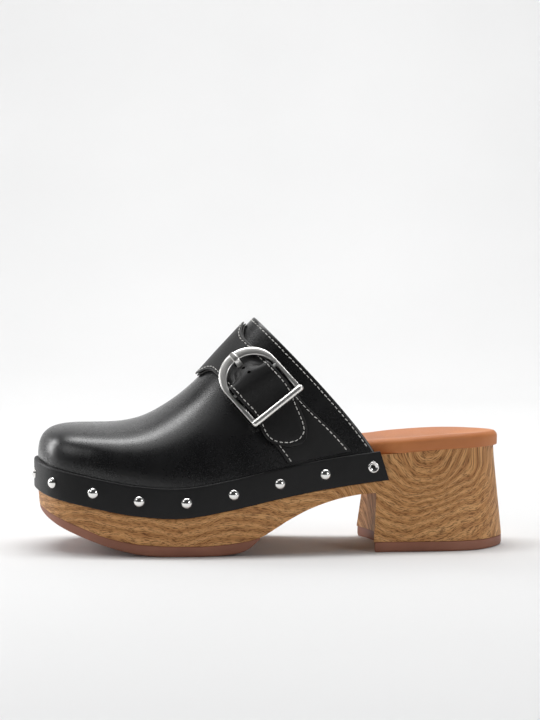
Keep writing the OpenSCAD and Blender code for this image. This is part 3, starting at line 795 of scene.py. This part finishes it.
def strap_lift(f, k):
    """Height of the strap's underside over the upper: it domes over the centre bar and lies on the tab."""
    x = (BAR_F - f) * MM_PER_DEGREE
    dome = 1 - smooth(0.25, 0.8, np.abs(k)) * smooth(1.5, 7.5, -x)
    fall = np.where(x < 0, smooth(1.5, 16.5, -x), smooth(1.5, 15, x))
    return 0.25 + (BAR_H + BAR_R + LOOP_T + 0.3) * (1 - fall) * dome + (TAB_T + 0.3) * smooth(7, 14, x)


def strap_side(f, k):
    return k * strap_wide(f) * np.sqrt(np.maximum(1 - np.maximum(0, (TIP_F + 12 - f) / 12.1) ** 2.3, 0))


def strap_point(f, k, out):
    """Point at angle f, a share k of the way from the strap's middle to its edge, out from its underside."""
    return over(strap_mid(np.minimum(f, 90)) + strap_side(f, k), f, strap_lift(f, k) + out)


STRAP_K = np.array([-1, -0.985, -0.95, -0.9, -0.82, -0.72, -0.6, -0.45, -0.3, -0.15, 0,
                    0.15, 0.3, 0.45, 0.6, 0.72, 0.82, 0.9, 0.95, 0.985, 1])
STITCH_IN = 1.7        # from the strap's edge to its stitches
STRAP_HALF_MM = 11.5


def strap_layer(base, thick, channel):
    """One of the strap's layers: its edges are rounded and its seam sits in a shallow channel."""
    f = np.concatenate([TIP_F + 12 * np.linspace(0, 1, 30) ** 2.2, np.linspace(TIP_F + 12.8, 178, 150)])
    ff, kk = np.meshgrid(f, STRAP_K, indexing="ij")
    side_mm = (1 - np.abs(kk)) * STRAP_HALF_MM
    end_mm = np.minimum((ff - TIP_F) * 0.75, (178 - ff) * 0.7)
    d = np.minimum(side_mm, end_mm)
    soft = thick * 0.5 * np.clip(1 - d / 0.55, 0, 1) ** 2
    top = base + thick - soft - channel * 0.16 * np.exp(-(((d - STITCH_IN) / 0.45) ** 2))
    low = base + soft * 0.6
    a, c = strap_point(ff, kk, top), strap_point(ff, kk, low)
    return np.concatenate([a, c[:, ::-1]], 1)


def cut(obj, cutters):
    """Cuts closed meshes out of an object and removes them."""
    for i, c in enumerate(cutters):
        mod = obj.modifiers.new(f"cut{i}", "BOOLEAN")
        mod.operation, mod.solver, mod.object = "DIFFERENCE", "EXACT", c
    graph = bpy.context.evaluated_depsgraph_get()
    graph.update()
    mesh = bpy.data.meshes.new_from_object(obj.evaluated_get(graph))
    obj.modifiers.clear()
    obj.data = mesh
    for c in cutters:
        bpy.data.objects.remove(c)


def buckle_axes():
    """The buckle's own frame: its origin on the centre bar, and its three directions."""
    t, f = strap_mid(BAR_F), float(BAR_F)
    origin = upper(t, f, BAR_H)
    a = upper(t + 0.02, f, 0) - upper(t - 0.02, f, 0)
    b = upper(t, f + 0.5, 0) - upper(t, f - 0.5, 0)
    z = np.cross(b, a)
    z /= np.linalg.norm(z)
    down = upper(t, f - 1, 0) - upper(t, f + 1, 0)
    y = np.cross(z, down)
    y /= np.linalg.norm(y)
    return origin, np.cross(y, z), y, z


ORIGIN, BX, BY, BZ = buckle_axes()


def local(p):
    """Points of the buckle's own frame: x down the strap, y across it, z away from the foot."""
    p = np.asarray(p, float)
    return ORIGIN + p[..., :1] * BX + p[..., 1:2] * BY + p[..., 2:3] * BZ


def cutter(outline, low, high):
    """Closed prism over an outline of local (x, y) points."""
    o = np.array(outline, float)
    rows = [np.column_stack([o, np.full(len(o), z)]) for z in (low, high)]
    b = Build()
    b.grid(local(np.stack(rows, 1)), wrap_u=True, cap_v=True)
    mesh = bpy.data.meshes.new("cutter")
    mesh.from_pydata([tuple(v) for v in np.vstack(b.verts) * MM], [], b.faces)
    bm = bmesh.new()
    bm.from_mesh(mesh)
    bmesh.ops.recalc_face_normals(bm, faces=bm.faces)
    bm.to_mesh(mesh)
    bm.free()
    obj = bpy.data.objects.new("cutter", mesh)
    bpy.context.scene.collection.objects.link(obj)
    return obj


def oval(x0, x1, width, n=10):
    """Outline of a slot with round ends, from x0 to x1."""
    r = width / 2
    a = np.linspace(-math.pi / 2, math.pi / 2, n)
    right = [(x1 - r + r * math.cos(v), r * math.sin(v)) for v in a]
    left = [(x0 + r - r * math.cos(v), -r * math.sin(v)) for v in a]
    return right + left


# Slots for the prong, in the backing and in the strap: ends along the strap, and width
HIDDEN_SLOT, OPEN_SLOT = (-16.4, -6.8, 4.3), (-15.9, -11.9, 3.9)
# Round holes: place along the strap and depth that the punch reaches, and diameter
HOLES, HOLE_D = ((-9.2, -5), (-4.3, -1)), 1.9


def strap():
    b = Build()
    b.grid(strap_layer(STRAP_T + LAYERS_GAP, STRAP_T, 1), wrap_v=True, cap_u=True)
    obj = b.piece("instep_strap_leather", STRAP_LEATHER, "black_leather")
    holes = [cutter(oval(x - HOLE_D / 2, x + HOLE_D / 2, HOLE_D, 8), low, 8) for x, low in HOLES]
    cut(obj, [cutter(oval(*OPEN_SLOT), -9, 4)] + holes)
    obj.data.set_sharp_from_angle(angle=math.radians(45))
    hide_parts("instep_strap")
    b = Build()
    b.grid(strap_layer(0, STRAP_T, 0), wrap_v=True, cap_u=True)
    back = b.piece("strap_backing_leather_layer", BACKING, "backing")
    cut(back, [cutter(oval(*HIDDEN_SLOT), -9, 4)])
    back.data.set_sharp_from_angle(angle=math.radians(45))
    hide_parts("strap_backing")


def tab_station(f, k):
    heel, toe = -6.64 + 0.12 * smooth(0, 25, f), -5.6
    return heel + (toe - heel) * (k + 1) / 2


def tab():
    f = np.linspace(2.5, 36, 60)
    k = STRAP_K
    ff, kk = np.meshgrid(f, k, indexing="ij")
    d = np.minimum((1 - np.abs(kk)) * 13.0, (36 - ff) * 0.9)
    soft = TAB_T * 0.5 * np.clip(1 - d / 0.55, 0, 1) ** 2
    top = 0.15 + TAB_T - soft - 0.16 * np.exp(-(((d - 1.5) / 0.45) ** 2))
    a, c = upper(tab_station(ff, kk), ff, top), upper(tab_station(ff, kk), ff, 0.15 + soft * 0.3)
    b = Build()
    b.grid(np.concatenate([a, c[:, ::-1]], 1), wrap_v=True, cap_u=True)
    obj = b.piece("buckle_tab_panel", STRAP_LEATHER, "black_leather", sharp_deg=45)
    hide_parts("buckle_tab")


# ---------------------------------------------------------------- buckle
BUCKLE_W, BUCKLE_L, BUCKLE_T = 32.5, 41.0, 2.2
APEX_W, LEG_W, BEND_R = 5.3, 2.6, 250.0


def frame_path():
    """Outer and inner points of the frame in plan, from one end of a leg round to the other."""
    ro, ri = BUCKLE_W / 2, BUCKLE_W / 2 - LEG_W
    co, ci = -(BUCKLE_L - BUCKLE_W) / 2, -BUCKLE_L / 2 + APEX_W + ro - LEG_W
    end = BUCKLE_L / 2 - 1.2
    leg = np.linspace(0, 1, 12, endpoint=False)
    a = np.linspace(-math.pi / 2, math.pi / 2, 61)

    def bow(c, r):
        there = [(end + (c - end) * u, -r) for u in leg]
        bend = [(c - r * math.cos(v), r * math.sin(v)) for v in a]
        return np.array(there + bend + [(c + (end - c) * (u + 1 / len(leg)), r) for u in leg])

    return bow(co, ro), bow(ci, ri)


def power_ring(n, power):
    """n points round a square with soft corners: 2 is a circle, and more is squarer."""
    a = np.linspace(0, 2 * math.pi, n, endpoint=False)
    c, s = np.cos(a), np.sin(a)
    return np.sign(c) * np.abs(c) ** (2 / power), np.sign(s) * np.abs(s) ** (2 / power)


def buckle_frame():
    outer, inner = frame_path()
    u, v = power_ring(24, 3.2)
    mid, half = (outer + inner) / 2, (outer - inner) / 2
    xy = mid[:, None] + half[:, None] * u[None, :, None]
    z = np.sqrt(BEND_R**2 - xy[..., 0] ** 2) - BEND_R + v * BUCKLE_T / 2
    b = Build()
    b.grid(local(np.concatenate([xy, z[..., None]], -1)), wrap_v=True, cap_u=True)
    # the half-round bar across the open end
    w = BUCKLE_W / 2 + 0.5
    s = np.sin(np.linspace(-math.pi / 2, math.pi / 2, 41))
    u, v = power_ring(24, 2.2)
    k = np.sqrt(np.maximum(1 - np.maximum(0, (np.abs(s) * w - (w - 1.6)) / 1.6) ** 2, 0.0004))
    x = BUCKLE_L / 2 - 1.8 + 1.8 * u[None] * k[:, None]
    z = 0.5 + np.where(v > 0, 1.7 * v, 0.9 * v)[None] * k[:, None]
    y = np.broadcast_to((s * w)[:, None], x.shape)
    b.grid(local(np.stack([x, y, z], -1)), wrap_v=True, cap_u=True)
    obj = b.piece("buckle_frame_casting", NICKEL, "nickel", body="buckle", sharp_deg=60)
    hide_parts("buckle_frame")


def rod(build, half, r, sides=24):
    """A round bar across the buckle, with its ends bevelled."""
    ys = np.array([-half, -half + 0.25, half - 0.25, half])
    rs = np.array([r - 0.25, r, r, r - 0.25])
    a = np.linspace(0, 2 * math.pi, sides, endpoint=False)
    p = np.stack([np.stack([k * np.cos(a), np.full(sides, y), k * np.sin(a)], -1) for y, k in zip(ys, rs)])
    build.grid(local(p), wrap_v=True, cap_u=True)


def centre_bar():
    b = Build()
    rod(b, (BUCKLE_W - 1.6) / 2, BAR_R)
    # The bar's dark grey nickel is painted shade.
    obj = b.piece("centre_bar_rod", SHADED_NICKEL, "nickel", body="buckle", sharp_deg=60)
    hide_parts("centre_bar")


PRONG_LINE = [(0, -1.3), (-2.5, -2.4), (-6.5, -2.9), (-10.9, -3.3), (-14.7, 1.2), (-16.2, 1.5), (-19.8, 1.35)]


def prong():
    line = rounded(np.array(PRONG_LINE, float), 0, {1: 1.0, 2: 1.5, 3: 1.4, 4: 1.4, 5: 0.8}, 5)
    tangent = np.gradient(line, axis=0)
    tangent /= np.linalg.norm(tangent, axis=1, keepdims=True)
    across = np.stack([-tangent[:, 1], tangent[:, 0]], 1)
    u, v = power_ring(20, 4)
    k = np.ones(len(line))
    k[-1], k[0] = 0.8, 0.8
    x = line[:, 0, None] + across[:, 0, None] * v * 0.7 * k[:, None]
    z = line[:, 1, None] + across[:, 1, None] * v * 0.7 * k[:, None]
    y = 1.6 * u[None] * k[:, None]
    b = Build()
    b.grid(local(np.stack([x, y, z], -1)), wrap_v=True, cap_u=True)
    knuckle(b)
    obj = b.piece("buckle_prong_pin", NICKEL, "nickel", body="prong", sharp_deg=50)
    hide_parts("buckle_prong")


def knuckle(build):
    """The prong's ring round the centre bar."""
    r0, r1, w = BAR_R + 0.06, BAR_R + 0.96, 2.0
    a = np.linspace(0, 2 * math.pi, 28, endpoint=False)
    loop = [(r0, -w), (r1 - 0.2, -w), (r1, -w + 0.2), (r1, w - 0.2), (r1 - 0.2, w), (r0, w)]
    p = np.stack([np.stack([r * np.cos(a), np.full(28, y), r * np.sin(a)], -1) for r, y in loop])
    build.grid(local(p), wrap_v=True, wrap_u=True)


# ---------------------------------------------------------------- stitches
def resampled(p, pitch):
    """Centres and directions of stitches, one pitch apart along a line of points."""
    step = np.linalg.norm(np.diff(p, axis=0), axis=1)
    s = np.concatenate([[0], np.cumsum(step)])
    n = int(s[-1] / pitch)
    at_s = (np.arange(n) + 0.5) * s[-1] / max(n, 1)
    c = np.stack([np.interp(at_s, s, p[:, i]) for i in range(3)], 1)
    ahead = np.stack([np.interp(at_s + 0.4, s, p[:, i]) for i in range(3)], 1)
    back = np.stack([np.interp(at_s - 0.4, s, p[:, i]) for i in range(3)], 1)
    d = ahead - back
    return c, d / np.linalg.norm(d, axis=1, keepdims=True)


def seam(name, line, normals, pitch=2.7, length=1.95, width=0.5):
    """A row of stitches along a line: each is a short thread that dips into the leather at both ends."""
    c, d = resampled(line, pitch)
    step = np.concatenate([[0], np.cumsum(np.linalg.norm(np.diff(line, axis=0), axis=1))])
    n = len(c)
    at_s = (np.arange(n) + 0.5) * step[-1] / max(n, 1)
    nz = np.stack([np.interp(at_s, step, normals[:, i]) for i in range(3)], 1)
    nz -= (nz * d).sum(1, keepdims=True) * d
    nz /= np.linalg.norm(nz, axis=1, keepdims=True)
    side = np.cross(d, nz)
    b = Build()
    a = np.linspace(0, 2 * math.pi, 8, endpoint=False)
    us = np.array([-1, -0.85, -0.45, 0, 0.45, 0.85, 1])
    girth = np.array([0.35, 0.8, 1, 1, 1, 0.8, 0.35])
    lift = np.array([-0.16, -0.04, 0.05, 0.09, 0.05, -0.04, -0.16])
    rng = np.random.default_rng(7)
    for i in range(n):
        w = width / 2 * (1 + 0.1 * rng.standard_normal())
        h = length / 2 * (1 + 0.06 * rng.standard_normal())
        turn = 0.09 * rng.standard_normal()
        di = d[i] + side[i] * turn
        rings = [c[i] + di * u * h + nz[i] * (lf + 0.02)
                 + g * w * (np.cos(a)[:, None] * side[i] + 0.75 * np.sin(a)[:, None] * nz[i])
                 for u, g, lf in zip(us, girth, lift)]
        b.grid(np.stack(rings), wrap_v=True, cap_u=True)
    return b.piece(name, THREAD, THREAD_SLOT)


def surface_line(point, f, k_or_t, out, eps=0.3):
    """Points and outward normals along a curve of a surface point(f, k, out)."""
    p = point(f, k_or_t, out)
    up = point(f, k_or_t, out + eps) - point(f, k_or_t, out)
    return p, up / np.linalg.norm(up, axis=-1, keepdims=True)


THREAD_SLOT = "stiffener"
TIP_STITCH = 1.9   # degrees from the strap's tip to its stitches


def seams():
    f = np.linspace(3.0, 89.0, 240)
    for side, name in ((-1, "outer"), (1, "inner")):
        per = np.linalg.norm(upper(side * 7.0, f, 0) - upper(side * 6.8, f, 0), axis=-1) / 0.2
        t = side * (7 - 2.2 / per)
        p, n = surface_line(lambda a, k, o: upper(k, a, o), f, t, 0.02)
        seam(f"throat_stitches_{name}", p, n)
    f = np.concatenate([np.linspace(TIP_F + TIP_STITCH, TIP_F + 14, 80), np.linspace(TIP_F + 15, 88, 150)])
    half_mm = np.linalg.norm(strap_point(f, 1.0, 1.9) - strap_point(f, 0.0, 1.9), axis=-1)
    k = np.minimum(1 - STITCH_IN / half_mm, strap_side(f - TIP_STITCH, 1.0) / strap_side(f, 1.0))
    down = strap_line(f, -k)
    up = strap_line(f, k)
    both = [np.concatenate([a[::-1], c]) for a, c in zip(down, up)]
    seam("strap_stitches_outer", *both)
    f = np.linspace(92, 172, 150)
    half_mm = np.linalg.norm(strap_point(f, 1.0, 1.9) - strap_point(f, 0.0, 1.9), axis=-1)
    for sign, name in ((-1, "heel"), (1, "toe")):
        seam(f"strap_stitches_inner_{name}", *strap_line(f, sign * (1 - STITCH_IN / half_mm)))
    f = np.linspace(3.0, 34.5, 80)
    for sign, name in ((-1, "heel"), (1, "toe")):
        p, n = surface_line(lambda a, k, o: upper(tab_station(a, k), a, o), f, sign * 0.885, 0.15 + TAB_T)
        seam(f"tab_stitches_{name}", p, n)


def strap_line(f, k):
    top = 2 * STRAP_T + LAYERS_GAP
    p = strap_point(f, k, top - 0.02)
    up = strap_point(f, k, top + 0.3) - strap_point(f, k, top)
    return p, up / np.linalg.norm(up, axis=-1, keepdims=True)


# ---------------------------------------------------------------- what stays from the CAD
def dress(node, mat):
    """Gives a CAD solid that stays another material."""
    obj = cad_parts[node]
    obj.data.materials.clear()
    obj.data.materials.append(mat)


wooden_sole()
forefoot_tread()
heel_tread()
footbed()
vamp()
vamp_lining()
studded_band()
studs()
rear_fixings()
strap()
tab()
buckle_frame()
centre_bar()
prong()
seams()
dress("toe_puff", CUT_EDGE)
dress("buckle_loop", STRAP_LEATHER)


# ---------------------------------------------------------------- studio
def floor():
    """A pale sheet that runs back and curves up behind the clog."""
    prof = [(-3.0, 0.0), (1.2, 0.0)]
    prof += [(1.2 + 0.9 * math.sin(a), 0.9 - 0.9 * math.cos(a)) for a in np.linspace(0.08, math.pi / 2, 16)]
    prof += [(2.1, 3.2)]
    xs = np.linspace(-4, 4, 9)
    p = np.array([[(x * 1000, y * 1000, z * 1000 - 0.02) for y, z in prof] for x in xs])
    mesh = bpy.data.meshes.new("studio_floor")
    u, v = p.shape[:2]
    idx = np.arange(u * v).reshape(u, v)
    quads = np.stack([idx[:-1, :-1], idx[1:, :-1], idx[1:, 1:], idx[:-1, 1:]], -1).reshape(-1, 4)
    mesh.from_pydata([tuple(q) for q in p.reshape(-1, 3) * MM], [], quads.tolist())
    obj = bpy.data.objects.new("studio_floor", mesh)
    bpy.context.scene.collection.objects.link(obj)
    mesh.materials.append(floor_material())
    mesh.shade_smooth()


def area_light(name, where, target, size, power, shape_y=None):
    data = bpy.data.lights.new(name, "AREA")
    data.energy, data.size, data.shape = power, size, "RECTANGLE"
    data.size_y = shape_y or size
    obj = bpy.data.objects.new(name, data)
    obj.location = where
    obj.rotation_euler = (Vector(target) - Vector(where)).to_track_quat("-Z", "Y").to_euler()
    bpy.context.scene.collection.objects.link(obj)
    return obj


def world_light():
    """A soft white room that is darker on the camera's side, as the black leather mirrors it."""
    world = bpy.data.worlds.new("studio_world")
    bpy.context.scene.world = world
    world.use_nodes = True
    bg = world.node_tree.nodes["Background"]
    tree = world.node_tree
    way = add(tree, "ShaderNodeSeparateXYZ")
    link(tree, add(tree, "ShaderNodeTexCoord").outputs["Generated"], way.inputs["Vector"])
    link(tree, ramp(tree, span(tree, way.outputs["Y"], -1, 1, 0, 1),
                    [(0.2, (0.14, 0.142, 0.144)), (0.8, (1.42, 1.44, 1.46))]), bg.inputs["Color"])
    bg.inputs["Strength"].default_value = 0.3


def studio():
    floor()
    bpy.context.scene.view_settings.view_transform = "Standard"
    world_light()
    area_light("overhead", (-0.15, 0.22, 1.5), (0, 0.03, 0.05), 1.6, 7.0, 1.2)
    area_light("backdrop_wash", (0, 0.4, 2.6), (0, 1.9, 0.9), 3.0, 78, 1.0)
    area_light("toe_side", (-1.0, -0.45, 0.75), (-0.05, 0, 0.05), 0.5, 1.4)
    area_light("camera_side", (1.6, -1.5, 0.8), (0.02, 0, 0.05), 0.8, 9.5)
    area_light("toe_strip", (-1.0, 0.42, 0.4), (-0.1, 0, 0.06), 0.25, 4.5, 0.6)


def camera():
    data = bpy.data.cameras.new("photo_camera")
    data.sensor_fit, data.sensor_height, data.lens = "VERTICAL", 36.0, 83.7
    data.clip_end = 20
    obj = bpy.data.objects.new("photo_camera", data)
    where = Vector((-0.04705, -0.8988, 0.1307))
    flat = Vector((0.0013, 0.0, 0.1307)) - where
    flat.normalize()
    pitch = math.radians(-1.99)
    look = flat * math.cos(pitch) + Vector((0, 0, math.sin(pitch)))
    obj.location = where
    obj.rotation_euler = look.to_track_quat("-Z", "Y").to_euler()
    bpy.context.scene.collection.objects.link(obj)
    bpy.context.scene.camera = obj


studio()
camera()
